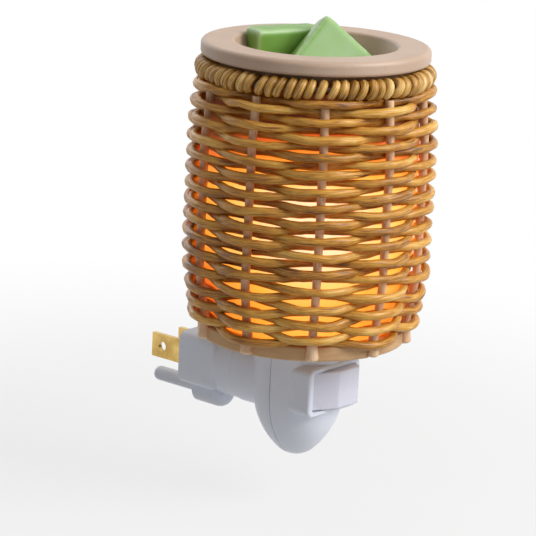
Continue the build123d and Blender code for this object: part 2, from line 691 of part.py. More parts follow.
# Base disc, liner and dish seat
def base_disc():
    disc = rod(BASE_R, BASE_THICK)
    disc = fillet(disc.edges(), BASE_EDGE_R)
    spigot_r = LINER_BORE_R - SEAT_GAP
    disc += Pos(0, 0, BASE_THICK) * ring(spigot_r, spigot_r - SPIGOT_WIDTH, SPIGOT_HEIGHT)
    disc -= rod(HOLDER_HOLE_R, BASE_THICK)
    for place in stake_places():
        disc -= place * Pos(STUB_R, 0, 0) * rod(STAKE_R + SEAT_GAP, BASE_THICK)
    disc = about_shade(Pos(0, 0, BASE_BOTTOM) * disc)
    for hole in base_screw_holes():
        disc -= hole
    return disc


def base_screws():
    fastener = Pos(0, 0, BASE_TOP) * screw(BASE_SCREW_LENGTH)
    return Compound([about_shade(place * fastener) for place in base_screw_places()])


def dish_seat():
    bore = LINER_BORE_R - SEAT_GAP
    top = ring(bore + SEAT_REACH, bore, SEAT_THICK)
    skirt_r = LINER_R + SEAT_GAP
    skirt = Pos(0, 0, -SEAT_SKIRT) * ring(skirt_r + SEAT_SKIRT_THICK, skirt_r, SEAT_SKIRT)
    return about_shade(Pos(0, 0, LINER_TOP) * (top + skirt))


def shade_liner():
    """Thin barrel that follows the inside of the weave, straight at both ends."""
    outside = [(LINER_R, BASE_TOP), (LINER_R, FIRST_ROW_Z), (LINER_BELLY_R, BELLY_LOW),
               (LINER_BELLY_R, BELLY_HIGH), (LINER_R, STAKE_TOP), (LINER_R, LINER_TOP)]
    inside = [(r - LINER_WALL, z) for r, z in reversed(outside)]
    return about_shade(turned_outline(outside + inside))


def make_base():
    pieces["base_disc"] = base_disc()
    pieces["base_screws"] = base_screws()
    pieces["shade_liner"] = shade_liner()
    pieces["dish_seat"] = dish_seat()


# Woven shade
def stake_places():
    return [Rot(0, 0, STAKE_AZIMUTH + BAY_DEG * i) for i in range(STAKE_COUNT)]


def stake_line():
    """Corners of a stake as (radius, height), from its stub in the base disc to the border."""
    return [(STUB_R, BASE_BOTTOM + STUB_RISE), (STUB_R, FIRST_ROW_Z), (BELLY_R, BELLY_LOW),
            (BELLY_R, BELLY_HIGH), (HOOP_R, STAKE_TOP)]


def stake_radius(height):
    """Distance of the stakes from the axis at a height."""
    line = stake_line()
    for (low_r, low_z), (high_r, high_z) in zip(line, line[1:]):
        if height <= high_z:
            return low_r + (high_r - low_r) * (height - low_z) / (high_z - low_z)
    return HOOP_R


def stake_bend():
    """Bend radius of the stakes, held to the room on their short upright foot."""
    foot, first_row, belly = stake_line()[:3]
    room = first_row[1] - foot[1] - STAKE_R
    lean = math.atan2(abs(belly[0] - first_row[0]), belly[1] - first_row[1])
    return STAKE_BEND_R * room / max(room, STAKE_BEND_R * math.tan(lean / 2))


def stakes():
    route = FilletPolyline(*[(r, 0, z) for r, z in stake_line()], radius=stake_bend())
    stake = sweep(Plane(route @ 0, z_dir=route % 0) * Circle(STAKE_R), path=route)
    return Compound([about_shade(place * stake) for place in stake_places()])


def polar(radius, degrees):
    return Vector(radius * math.cos(math.radians(degrees)), radius * math.sin(math.radians(degrees)))


def bend(centre, start, end):
    """Arc about a centre by the short way."""
    toward = (start - centre) + (end - centre)
    return ThreePointArc(start, centre + toward.normalized() * (start - centre).length, end)


def strand(middle_r):
    """Cane from over one stake, inside the next, to over the one after, in a level plane."""
    over_r = WEAVE_BEND_RATIO * middle_r
    inside = middle_r - WEAVE_SWING
    over_at = middle_r + WEAVE_SWING - over_r
    bay = math.cos(math.radians(BAY_DEG))
    under_r = (over_r**2 - over_at**2 - inside**2 + 2 * over_at * inside * bay) / (
        2 * (inside - over_at * bay - over_r))
    first = polar(over_at, 0)
    under = polar(inside + under_r, BAY_DEG)
    second = polar(over_at, 2 * BAY_DEG)
    share = over_r / (over_r + under_r)
    leave = first + (under - first) * share
    arrive = second + (under - second) * share
    start = polar(middle_r + WEAVE_SWING, 0)
    end = polar(middle_r + WEAVE_SWING, 2 * BAY_DEG)
    route = Wire([bend(first, start, leave), bend(under, leave, arrive), bend(second, arrive, end)])
    return sweep(Plane(route @ 0, z_dir=route % 0) * Circle(STRAND_R), path=route)


def weave_rows(first):
    """Every second row, of strands that meet over a stake, the lowest inside the first stake."""
    rows = []
    for row in range(first, ROW_COUNT, 2):
        height = FIRST_ROW_Z + row * ROW_PITCH
        cane = Pos(0, 0, height) * strand(stake_radius(height))
        for start in range(1 - first, STAKE_COUNT, 2):
            rows.append(about_shade(Rot(0, 0, STAKE_AZIMUTH + BAY_DEG * start) * cane))
    return Compound(rows)


def border_wraps():
    """Short canes bent over the hoop side by side, slanting, with a gap at each stake."""
    opening_end = WRAP_OPENING_AT + WRAP_OPENING / 2
    loop = Rot(0, 0, opening_end) * Torus(WRAP_LOOP_R, WRAP_R, major_angle=360 - WRAP_OPENING)
    loop = Pos(HOOP_R, 0, HOOP_Z) * Rot(-WRAP_SLANT, 0, 0) * Rot(90, 0, 0) * loop
    first = (BAY_DEG - (WRAPS_PER_BAY - 1) * WRAP_PITCH_DEG) / 2
    return Compound([about_shade(place * Rot(0, 0, first + i * WRAP_PITCH_DEG) * loop)
                     for place in stake_places() for i in range(WRAPS_PER_BAY)])


def make_shade():
    pieces["shade_stakes"] = stakes()
    pieces["weave_odd_rows"] = weave_rows(0)
    pieces["weave_even_rows"] = weave_rows(1)
    pieces["border_hoop"] = about_shade(Pos(0, 0, HOOP_Z) * Torus(HOOP_R, HOOP_TUBE_R))
    pieces["border_wraps"] = border_wraps()


# Dish and wax
def wax_dish():
    mouth = (DISH_MOUTH_R, DISH_TOP)
    floor = (DISH_FLOOR_R, DISH_FLOOR_Z)
    bottom_z = DISH_FLOOR_Z - DISH_WALL
    foot = (DISH_FLOOR_R + DISH_WALL / 2, bottom_z)
    rim_top = (DISH_RIM_R, DISH_TOP)
    rim_low = (DISH_RIM_R, RIM_BOTTOM)
    outline = [(0, DISH_FLOOR_Z), floor, mouth, rim_top, rim_low, (BOWL_R, RIM_BOTTOM), foot, (0, bottom_z)]
    bends = [(floor, DISH_FLOOR_BEND_R), (mouth, DISH_MOUTH_EDGE_R), (rim_top, DISH_EDGE_R),
             (rim_low, DISH_LOW_EDGE_R), (foot, DISH_EDGE_R)]
    return about_shade(turned_outline(outline, bends))


def bowl_room():
    """Space in the dish that softened wax can fill, a little clear of the dish."""
    floor_z = DISH_FLOOR_Z + WAX_GAP
    rise = DISH_TOP * 2
    floor = (DISH_FLOOR_R - WAX_SIDE_GAP, floor_z)
    mouth_r = DISH_MOUTH_R - WAX_SIDE_GAP
    outline = [(0, floor_z), floor, (mouth_r, DISH_TOP), (mouth_r, rise), (0, rise)]
    return about_shade(turned_outline(outline, [(floor, DISH_FLOOR_BEND_R)]))


def flat_melt():
    """Block of wax that lies level at the back of the dish."""
    tall = DISH_DEPTH + FLAT_MELT_PROUD
    block = Box(FLAT_MELT_LENGTH, FLAT_MELT_WIDTH, tall, align=LOW)
    block = Pos(-FLAT_MELT_LEFT, FLAT_MELT_BACK + FLAT_MELT_WIDTH / 2, DISH_FLOOR_Z) * block
    return about_shade(Rot(0, 0, FLAT_MELT_TURN) * block) & bowl_room()


def leaning_melt():
    """Block of wax that leans back in the dish with one corner up."""
    azimuth = math.radians(LEANING_MELT_AZIMUTH)
    lean = math.radians(LEANING_MELT_LEAN)
    toward = Vector(math.sin(azimuth) * math.cos(lean), -math.cos(azimuth) * math.cos(lean), math.sin(lean))
    across = Vector(math.cos(azimuth), math.sin(azimuth), 0)
    x, y, rise = LEANING_MELT_PEAK
    face = Plane(origin=(x, y - SHADE_OUT, DISH_TOP + rise), x_dir=across, z_dir=toward)
    square = Rot(0, 0, 45) * Rectangle(LEANING_MELT_SIDE, LEANING_MELT_SIDE)
    square = Pos(0, -LEANING_MELT_SIDE / math.sqrt(2)) * square
    return extrude(face * square, -LEANING_MELT_THICK) & bowl_room()


def make_dish():
    pieces["wax_dish"] = wax_dish()
    pieces["wax_melt_flat"] = flat_melt()
    pieces["wax_melt_leaning"] = leaning_melt()


make_plug()
make_housing()
make_switch()
make_lamp()
make_base()
make_shade()
make_dish()

os.makedirs("parts", exist_ok=True)
for node, shape in pieces.items():
    export_step(shape, f"parts/{node}.step")
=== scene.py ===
import math

import bpy
from mathutils import Matrix, Vector


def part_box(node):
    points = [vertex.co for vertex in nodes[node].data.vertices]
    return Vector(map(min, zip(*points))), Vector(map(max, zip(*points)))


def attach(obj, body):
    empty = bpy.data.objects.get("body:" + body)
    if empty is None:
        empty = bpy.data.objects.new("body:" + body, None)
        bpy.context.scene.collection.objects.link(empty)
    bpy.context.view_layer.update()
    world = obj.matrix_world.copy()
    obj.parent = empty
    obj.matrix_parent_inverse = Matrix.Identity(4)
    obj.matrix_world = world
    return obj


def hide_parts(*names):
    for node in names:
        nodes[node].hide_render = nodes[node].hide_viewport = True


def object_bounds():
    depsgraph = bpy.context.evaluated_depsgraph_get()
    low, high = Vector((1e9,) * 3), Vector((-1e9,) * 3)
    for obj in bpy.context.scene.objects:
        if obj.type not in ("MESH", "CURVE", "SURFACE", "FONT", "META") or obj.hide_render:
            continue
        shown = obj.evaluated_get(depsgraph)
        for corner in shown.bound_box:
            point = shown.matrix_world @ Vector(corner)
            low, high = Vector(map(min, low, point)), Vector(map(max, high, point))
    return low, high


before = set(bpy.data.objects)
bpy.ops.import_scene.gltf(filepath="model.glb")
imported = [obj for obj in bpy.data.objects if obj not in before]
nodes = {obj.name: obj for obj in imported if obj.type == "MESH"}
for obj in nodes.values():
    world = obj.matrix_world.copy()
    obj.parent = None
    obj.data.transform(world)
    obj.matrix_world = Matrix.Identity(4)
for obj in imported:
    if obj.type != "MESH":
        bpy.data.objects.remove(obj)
cad_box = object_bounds()

# Wax melt warmer, in metres. The origin is on the plug's wall face, +Y goes into the wall, +Z is up.
MM = 0.001
FULL_TURN = 2 * math.pi

# Camera of the photograph, which is square. Angles are in degrees, lens and sensor in millimetres.
EYE = Vector((-626.085, -543.616, 240.897)) * MM
VIEW_AZIMUTH = -50.389
VIEW_ELEVATION = 14.372
VIEW_ROLL = 2.8045
LENS = 178.5
SENSOR = 36.0
NEAREST_SEEN = 0.01

# Lamps: azimuth and elevation in degrees, distance and side in metres, power in watts
LAMPS = {
    "key": (20, 36, 0.9, 0.55, 7.8),
    "top": (-62, 76, 1.0, 0.8, 2.0),
    "rear": (165, 30, 1.0, 0.8, 2.2),
}
ROOM_LIGHT = 0.19

# Floor: half its side, its depth under the turned shade, and how white it is seen near and far off
FLOOR_REACH = 3.0
FLOOR_DROP = 1.0 * MM
FLOOR_NEAR_FAR = (0.08, 0.3)
FLOOR_WHITENESS = (0.78, 1.0)

# Shade, taken from the frame
dish_low, dish_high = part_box("wax_dish")
base_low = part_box("base_disc")[0]
hoop_low, hoop_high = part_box("border_hoop")
stake_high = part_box("shade_stakes")[1]
liner_low, liner_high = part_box("shade_liner")
SHADE_Y = (dish_low.y + dish_high.y) / 2
HOOP_Z = (hoop_low.z + hoop_high.z) / 2
HOOP_TUBE_R = (hoop_high.z - hoop_low.z) / 2
HOOP_R = (hoop_high.x - hoop_low.x) / 2 - HOOP_TUBE_R
STAKE_HEAD = stake_high.z

# Stakes
STAKE_COUNT = 10
FIRST_STAKE = math.radians(225)
STAKE_R = 1.35 * MM
STAKE_FOOT = base_low.z + 0.3 * MM
STAKE_FOOT_RADIUS = 32.8 * MM
STAKE_SWELLING = 0.62
STAKE_SWELLING_TOP = base_low.z + 8.7 * MM
STAKE_FOOT_ROUNDING = 1.1 * MM
STAKE_FOOT_CLOSING = 0.98
STAKE_SWAY = 0.02
STAKE_LUMPS = 0.2
STAKE_TONES = (0.1, 0.9)
# Power that brings the points of a stake closer together at its foot
FOOT_CROWDING = 1.8

# Belly of the shade
BELLY_R = 35.4 * MM
BELLY_LOW = 38.0 * MM
BELLY_HIGH = 78.0 * MM
BELLY_BLEND = 0.6 * MM

# Rows of the weave
ROW_COUNT = 30
ROW_PITCH = 2.5 * MM
FIRST_ROW_Z = 20.75 * MM
CANES_PER_ROUND = 3
CANE_OVERLAP = math.radians(26)
STRAND_R = 1.27 * MM
WEAVE_SWING = 2.7 * MM
WEAVE_GRIP = 0.12

# How the rows stray from an even weave: row numbers, then sizes at the first and the last of these rows
DROOP_ROWS, DROOP = (4, 9), (0.6 * MM, -0.12 * MM)
LIFT_ROWS, LIFT = (20, 29), (0.0, 0.35 * MM)
FOOT_ROWS, FOOT_PACKING = (0, 5), (0.4 * MM, 1.0 * MM)
LOOSER_ROWS, LOOSENING = (5, 8), (1.0, 0.0)
BORDER_ROWS, DRAWN_UP = (22, 29), (0.0, 0.9 * MM)
ROW_WANDER = 2.1 * MM
DEPTH_WANDER = 0.7 * MM
END_SHIFT = 0.8 * MM

# First and last part of a cane, in shares of its length: where it lies over or under, and where it thins
CANE_START, CANE_END = (0.0, 0.15), (0.85, 1.0)
CANE_START_TIP, CANE_END_TIP = (0.0, 0.07), (0.93, 1.0)
WRAP_START_TIP, WRAP_END_TIP = (0.0, 0.16), (0.84, 1.0)

# Thickness of a cane as a share of its radius
CANE_THICKNESS = (0.94, 1.14)
CANE_SWELLING = 0.3
CANE_KNOTS = (0.0, 0.1)
KNOT_NOISE = (0.7, 0.78)
CANE_START_TAPER = (0.45, 1.0)
CANE_END_TAPER = (1.0, 0.4)

# Wraps of the border
WRAPS_PER_BAY = 7
WRAP_R = 1.3 * MM
WRAP_LOOP_R = 2.15 * MM
WRAP_LENGTH = 13 * MM
WRAP_PITCH = math.radians(4.95)
WRAP_SLANT = math.radians(22)
WRAP_FROM = math.radians(-105)
WRAP_SWEEP = math.radians(300)
WRAP_FANNING = 0.02
WRAP_STRAYING = 0.008
WRAP_TILTING = 0.07
WRAP_LOOSENESS = (0.96, 1.05)
WRAP_THICKNESS = (0.9, 1.08)
WRAP_LUMPS = 0.16
WRAP_START_TAPER = (0.62, 1.0)
WRAP_END_TAPER = (1.0, 0.6)

# Points along a cane and sides around it
WEAVE_POINTS, WEAVE_SIDES = 61, 10
STAKE_POINTS, STAKE_SIDES = 64, 12
WRAP_POINTS, WRAP_SIDES = 25, 12

# Liner, and the painted glow of the bulb's light on it: the heights at which that glow changes, and by how
# much
LINER_WALL = 1.2 * MM
LINER_LIP = 1.4 * MM
LINER_FLUTE = 2.4 * MM
LINER_SEGMENTS = 240
GLOW_LOW = 30 * MM
LAMP_LOW = 48 * MM
LAMP_HIGH = 66 * MM
GLOW_END = 88 * MM
# Heights over which the liner's colour darkens towards its top: painted shadow
LINER_SHADOW = (80 * MM, 90 * MM)
FOOT_GLOW = 0.7
# Painted glow: how much it dims on the sides away from the filament, and how much a random cloud varies it
PAINTED_GLOW_SIDE_DIMMING = 0.46
PAINTED_GLOW_CLOUDING = 0.12
GLOW_STRENGTH = 1.3

# Wax: fineness of its skin, rounding of its edges and what that takes off, and how pale and wide the painted
# highlight along them is
WAX_GRAIN = 0.42 * MM
WAX_SWELL = 0.26 * MM
WAX_ROUNDING, WAX_ROUNDING_FACTOR = 52, 0.5
EDGE_GAIN = 60
EDGE_SPREAD = 10

# Values that a noise mostly keeps between, and its mean
NOISE_SPAN = (0.3, 0.7)
NOISE_MEAN = 0.5

# Shares of the cane's colour that come from each layer of its grain
STREAK_TINT = 0.86
BLOTCH_TINT = 0.42
TONE_TINT = 0.2
FIBRE_TINT = 0.2
KNOT_TINT = 0.2
CANE_DARKENING = 0.33
CANE_STOPS = (0.24, 0.42, 0.58, 0.78)


def srgb(red, green, blue):
    """Linear colour from the 0 to 255 values that a screen shows."""
    def linear(value):
        share = value / 255
        return share / 12.92 if share <= 0.04045 else ((share + 0.055) / 1.055) ** 2.4
    return linear(red), linear(green), linear(blue), 1.0


def add_object(name, data):
    made = bpy.data.objects.new(name, data)
    bpy.context.scene.collection.objects.link(made)
    return made


def make_plain(piece):
    """Work a piece's modifiers into a plain mesh and remove them."""
    bpy.context.view_layer.update()
    depsgraph = bpy.context.evaluated_depsgraph_get()
    mesh = bpy.data.meshes.new_from_object(piece.evaluated_get(depsgraph), preserve_all_data_layers=True,
                                           depsgraph=depsgraph)
    piece.modifiers.clear()
    piece.data = mesh


class Field:
    """Output of a node, so that places and shades are worked out with plain arithmetic."""

    def __init__(self, bench, socket):
        self.bench = bench
        self.socket = socket

    def __add__(self, other):
        return self.bench.math("ADD", self, other)

    def __radd__(self, other):
        return self.bench.math("ADD", other, self)

    def __sub__(self, other):
        return self.bench.math("SUBTRACT", self, other)

    def __rsub__(self, other):
        return self.bench.math("SUBTRACT", other, self)

    def __mul__(self, other):
        return self.bench.math("MULTIPLY", self, other)

    def __truediv__(self, other):
        return self.bench.math("DIVIDE", self, other)


class Bench:
    """Adds nodes to one tree and joins them."""

    def __init__(self, tree):
        self.tree = tree

    def node(self, kind, settings=None, **inputs):
        """New node. Settings are its own options, and inputs are named with _ for a space."""
        made = self.tree.nodes.new(kind)
        for name, value in (settings or {}).items():
            setattr(made, name, value)
        for name, value in inputs.items():
            self.put(made.inputs[name.replace("_", " ")], value)
        return made

    def put(self, socket, value):
        if isinstance(value, Field):
            self.tree.links.new(value.socket, socket)
        else:
            socket.default_value = value

    def out(self, made, name=0):
        return Field(self, made.outputs[name])

    def math(self, operation, *values):
        made = self.node("ShaderNodeMath", {"operation": operation})
        for socket, value in zip(made.inputs, values):
            self.put(socket, value)
        return self.out(made)

    def remap(self, value, span, to, smooth=False):
        """Value carried from one range to another, and held at the ends."""
        made = self.node("ShaderNodeMapRange", {"interpolation_type": "SMOOTHSTEP" if smooth else "LINEAR"},
                         Value=value, From_Min=span[0], From_Max=span[1], To_Min=to[0], To_Max=to[1])
        return self.out(made)

    def vector(self, x, y, z):
        return self.out(self.node("ShaderNodeCombineXYZ", X=x, Y=y, Z=z))

    def noise(self, place, scale, detail=2.0, roughness=0.5):
        made = self.node("ShaderNodeTexNoise", Vector=place, Scale=scale, Detail=detail, Roughness=roughness)
        return self.out(made)

    def wander(self, place, scale, detail):
        """Noise on both sides of zero."""
        return self.noise(place, scale, detail) - NOISE_MEAN


class Loom(Bench):
    """Geometry Nodes tree with named sizes, which lays canes along curves."""

    def __init__(self, name, sizes):
        super().__init__(bpy.data.node_groups.new(name, "GeometryNodeTree"))
        self.tree.interface.new_socket("Geometry", in_out="OUTPUT", socket_type="NodeSocketGeometry")
        self.sizes = sizes
        self.identifiers = {}
        for label, value in sizes.items():
            kind = "NodeSocketInt" if isinstance(value, int) else "NodeSocketFloat"
            socket = self.tree.interface.new_socket(label, in_out="INPUT", socket_type=kind)
            self.identifiers[label] = socket.identifier
        self.given = self.node("NodeGroupInput")

    def size(self, label):
        return self.out(self.given, label)

    def random(self, low, high, key, seed):
        made = self.node("FunctionNodeRandomValue", {"data_type": "FLOAT"}, ID=key, Seed=seed)
        for socket in made.inputs:
            if socket.type == "VALUE" and socket.name in ("Min", "Max"):
                socket.default_value = low if socket.name == "Min" else high
        return Field(self, next(s for s in made.outputs if s.type == "VALUE"))

    def keep(self, geometry, name, value, kind="FLOAT"):
        """Store a value on the points under a name that the finish reads."""
        made = self.node("GeometryNodeStoreNamedAttribute", {"data_type": kind, "domain": "POINT"},
                         Geometry=geometry, Name=name)
        socket = next(s for s in made.inputs if s.name == "Value" and s.enabled)
        self.put(socket, value)
        return self.out(made)

    def step(self, steps):
        """Number of the cane that a point is on, and the point's share of the way along it."""
        index = self.out(self.node("GeometryNodeInputIndex"))
        cane = self.group(index, steps)
        return cane, (index - cane * steps) / (steps - 1)

    def group(self, number, size):
        """Which group of this size a whole number falls in."""
        return self.math("FLOOR", (number + 0.5) / size)

    def canes(self, count, steps, place, thickness, along, tone, sides, material):
        """Sweep canes through points. Along and tone are what the finish takes its grain from."""
        cane, share = self.step(steps)
        points = self.node("GeometryNodePoints", Count=count * steps, Position=place)
        laid = self.node("GeometryNodePointsToCurves", Points=self.out(points), Curve_Group_ID=cane,
                         Weight=share)
        curve = self.keep(self.out(laid), "along", along)
        curve = self.keep(curve, "tone", tone)
        ring = self.node("GeometryNodeCurvePrimitiveCircle", Resolution=sides, Radius=1.0)
        turn = self.out(self.node("GeometryNodeInputIndex")) * (FULL_TURN / sides)
        around = self.vector(self.math("COSINE", turn), self.math("SINE", turn), 0.0)
        profile = self.keep(self.out(ring), "ring", around, "FLOAT_VECTOR")
        swept = self.node("GeometryNodeCurveToMesh", Curve=curve, Profile_Curve=profile, Scale=thickness,
                          Fill_Caps=True)
        smooth = self.node("GeometryNodeSetShadeSmooth", Geometry=self.out(swept))
        real = self.node("GeometryNodeRealizeInstances", Geometry=self.out(smooth))
        coated = self.node("GeometryNodeSetMaterial", Geometry=self.out(real), Material=material)
        self.node("NodeGroupOutput", Geometry=self.out(coated))

    def grown(self, name):
        """Plain mesh object of what the tree makes with its sizes."""
        piece = add_object(name, bpy.data.meshes.new(name))
        modifier = piece.modifiers.new("Loom", "NODES")
        modifier.node_group = self.tree
        for label, value in self.sizes.items():
            modifier[self.identifiers[label]] = value
        make_plain(piece)
        return piece


# Finishes
class Finish(Bench):
    """Material with one principled shader, whose colour, roughness and relief come from nodes."""

    def __init__(self, name):
        self.material = bpy.data.materials.new(name)
        self.material.use_nodes = True
        super().__init__(self.material.node_tree)
        self.shader = self.tree.nodes["Principled BSDF"]

    def set(self, **values):
        for name, value in values.items():
            self.put(self.shader.inputs[name.replace("_", " ")], value)

    def object_place(self):
        return self.out(self.node("ShaderNodeTexCoord"), "Object")

    def stretched(self, place, scale):
        return self.out(self.node("ShaderNodeMapping", Vector=place, Scale=scale))

    def attribute(self, name, output="Fac"):
        return self.out(self.node("ShaderNodeAttribute", {"attribute_name": name}), output)

    def shades(self, share, *stops):
        """Colour ramp from (place, colour) stops."""
        made = self.node("ShaderNodeValToRGB", Fac=share)
        ramp = made.color_ramp
        while len(ramp.elements) < len(stops):
            ramp.elements.new(1.0)
        for element, (place, colour) in zip(ramp.elements, stops):
            element.position = place
            element.color = colour
        return self.out(made)

    def gloss(self, noise, *roughness):
        """Roughness that follows a noise from its low to its high values."""
        self.set(Roughness=self.remap(noise, NOISE_SPAN, roughness))

    def relief(self, height, strength, depth):
        made = self.node("ShaderNodeBump", Strength=strength, Distance=depth, Height=height)
        self.set(Normal=self.out(made))


def cane_finish(name, *colours):
    """Varnished cane, from dark to pale: streaks, fibres and marks along each strand, blotches, and a
    tone of its own for each strand."""
    finish = Finish(name)
    along = finish.attribute("along")
    tone = finish.attribute("tone")
    ring = finish.node("ShaderNodeSeparateXYZ", Vector=finish.attribute("ring", "Vector"))

    def grain(lengthwise, across, apart, scale, detail, roughness=0.5):
        """Noise in a strand's own space. Strands of another tone lie apart in it."""
        place = finish.vector(along * lengthwise, finish.out(ring, "X") * across + tone * apart,
                              finish.out(ring, "Y") * across)
        return finish.noise(place, scale, detail, roughness)

    streaks = grain(lengthwise=90, across=1.6, apart=31, scale=2.2, detail=6.0, roughness=0.62)
    fibres = grain(lengthwise=260, across=7, apart=17, scale=2.0, detail=3.0)
    knots = grain(lengthwise=42, across=0.5, apart=53, scale=2.6, detail=1.0)
    blotches = finish.noise(finish.object_place(), scale=95.0, detail=3.0)
    marks = finish.remap(knots, (0.64, 0.76), (0.0, KNOT_TINT), True)
    share = streaks * STREAK_TINT + blotches * BLOTCH_TINT + tone * TONE_TINT + fibres * FIBRE_TINT
    finish.set(Base_Color=finish.shades(share - marks - CANE_DARKENING, *zip(CANE_STOPS, colours)))
    finish.gloss(streaks, 0.52, 0.34)
    finish.set(Coat_Weight=0.2, Coat_Roughness=0.3, Specular_IOR_Level=0.38)
    finish.relief(streaks * 0.6 + fibres * 0.4, strength=0.35, depth=0.35 * MM)
    return finish.material


def plastic_finish(name, colour, shadow, rough):
    """Moulded plastic with a faint mottle, a fine grain and uneven gloss."""
    finish = Finish(name)
    place = finish.object_place()
    mottle = finish.noise(place, scale=55.0, detail=3.0)
    grain = finish.noise(place, scale=2600.0)
    finish.set(Base_Color=finish.shades(mottle, (0.25, shadow), (0.7, colour)))
    finish.gloss(mottle, rough - 0.06, rough + 0.06)
    finish.relief(grain, strength=0.06, depth=0.05 * MM)
    return finish.material


def metal_finish(name, bright, dull, rough):
    """Rolled metal with fine lines and a little tarnish."""
    finish = Finish(name)
    place = finish.object_place()
    lines = finish.noise(finish.stretched(place, (1.0, 0.06, 1.0)), scale=1800.0, detail=3.0)
    tarnish = finish.noise(place, scale=140.0, detail=4.0)
    finish.set(Base_Color=finish.shades(tarnish, (0.3, dull), (0.62, bright)), Metallic=1.0)
    finish.gloss(lines, rough - 0.07, rough + 0.09)
    finish.relief(lines, strength=0.08, depth=0.04 * MM)
    return finish.material


def ceramic_finish():
    """Matt glaze in dusty tan with a fine speckle."""
    finish = Finish("Dish glaze")
    place = finish.object_place()
    cloud = finish.noise(place, scale=38.0, detail=4.0)
    speckle = finish.noise(place, scale=1500.0)
    finish.set(Base_Color=finish.shades(cloud * 0.8 + speckle * 0.25, (0.35, srgb(182, 152, 129)),
                                        (0.7, srgb(198, 171, 149))))
    finish.gloss(speckle, 0.42, 0.54)
    finish.set(Coat_Weight=0.12, Coat_Roughness=0.42)
    finish.relief(speckle * 0.5 + cloud * 0.5, strength=0.08, depth=0.08 * MM)
    return finish.material


def wax_finish():
    """Green wax, a little see-through, with a painted highlight that makes it paler where an edge is rounded.
    """
    finish = Finish("Green wax")
    place = finish.object_place()
    cloud = finish.noise(place, scale=130.0, detail=4.0)
    # Painted highlight: the wax is paler along its rounded edges.
    paler = finish.remap(finish.attribute("edge"), (0.05, 0.9), (0.0, 0.7), True)
    finish.set(Base_Color=finish.shades(cloud * 0.35 + paler, (0.1, srgb(108, 154, 60)),
                                        (0.36, srgb(126, 172, 78)), (0.9, srgb(186, 210, 164))))
    finish.gloss(cloud, 0.34, 0.48)
    finish.set(Coat_Weight=0.15, Coat_Roughness=0.36, Subsurface_Weight=0.35,
               Subsurface_Radius=(0.5, 1.0, 0.4), Subsurface_Scale=2.5 * MM)
    finish.relief(finish.noise(place, scale=420.0, detail=3.0), strength=0.07, depth=0.15 * MM)
    return finish.material


def board_finish():
    """Painted board of the base, with a faint grain."""
    finish = Finish("Base board")
    place = finish.object_place()
    grain = finish.noise(finish.stretched(place, (1.0, 0.12, 3.0)), scale=260.0, detail=5.0)
    cloud = finish.noise(place, scale=60.0)
    finish.set(Base_Color=finish.shades(grain * 0.5 + cloud * 0.5, (0.3, srgb(194, 150, 102)),
                                        (0.7, srgb(218, 178, 130))))
    finish.gloss(grain, 0.5, 0.64)
    finish.relief(grain, strength=0.12, depth=0.1 * MM)
    return finish.material


def liner_finish():
    """Frosted liner with the bulb's light painted on as a glow: cream where the filament faces it, then
    yellow, orange and dull red, and painted shadow darkening its top.
    """
    finish = Finish("Lit liner")
    place = finish.node("ShaderNodeSeparateXYZ", Vector=finish.object_place())
    height = finish.out(place, "Z")
    azimuth = finish.math("ARCTAN2", finish.out(place, "Y") - SHADE_Y, finish.out(place, "X"))
    # Painted light: the glow is brighter on the two sides that the filament faces and dimmer between them.
    facing = finish.math("COSINE", (azimuth - FIRST_STAKE) * 2) * 0.5 + 0.5
    cloud = finish.noise(finish.object_place(), scale=45.0, detail=3.0)
    # Painted light and shade: the glow rises from the foot to the lamp's height and fades out towards the
    # dish.
    rising = finish.remap(height, (GLOW_LOW, LAMP_LOW), (FOOT_GLOW, 1.0), True)
    fading = finish.remap(height, (LAMP_HIGH, GLOW_END), (0.0, 1.0))
    glow_level = rising - fading - (1 - facing) * PAINTED_GLOW_SIDE_DIMMING + (cloud - NOISE_MEAN) * PAINTED_GLOW_CLOUDING
    glow = finish.shades(glow_level, (0.0, (0.05, 0.008, 0.002, 1)), (0.16, (0.42, 0.06, 0.008, 1)),
                         (0.4, (0.72, 0.19, 0.016, 1)), (0.66, (0.88, 0.36, 0.04, 1)),
                         (0.84, (0.95, 0.52, 0.14, 1)), (1.0, (1.0, 0.68, 0.40, 1)))
    # Painted shadow: the liner's colour darkens towards its top, under the dish, mixed with a random cloud of
    # tone.
    tone_and_painted_shadow = finish.remap(height, LINER_SHADOW, (0.0, 0.6), True) + cloud * 0.4
    finish.set(Base_Color=finish.shades(tone_and_painted_shadow, (0.1, srgb(226, 160, 84)), (0.35, srgb(214, 142, 70)),
                                        (0.8, srgb(70, 40, 20))))
    finish.gloss(cloud, 0.5, 0.65)
    # The liner is no lamp: its emission is painted light that stands in for the bulb's light shining through
    # it.
    finish.set(Emission_Color=glow, Emission_Strength=GLOW_STRENGTH)
    return finish.material


def lamp_glass_finish():
    """Thin clear glass with a few faint waves."""
    finish = Finish("Lamp glass")
    waves = finish.noise(finish.object_place(), scale=160.0)
    finish.set(Base_Color=finish.shades(waves, (0.3, srgb(255, 238, 205)), (0.7, srgb(255, 246, 226))))
    finish.gloss(waves, 0.02, 0.08)
    finish.set(Transmission_Weight=0.9, IOR=1.45)
    finish.relief(waves, strength=0.05, depth=0.1 * MM)
    return finish.material


def filament_finish():
    """Wire glowing yellow, unevenly along its length."""
    finish = Finish("Hot filament")
    glow_level = finish.noise(finish.object_place(), scale=700.0)
    finish.set(Base_Color=finish.shades(glow_level, (0.3, srgb(230, 180, 120)), (0.7, srgb(255, 214, 150))))
    finish.set(Emission_Color=finish.shades(glow_level, (0.3, srgb(255, 190, 90)), (0.7, srgb(255, 226, 160))))
    finish.gloss(glow_level, 0.3, 0.5)
    finish.set(Emission_Strength=6.0, Metallic=1.0)
    return finish.material
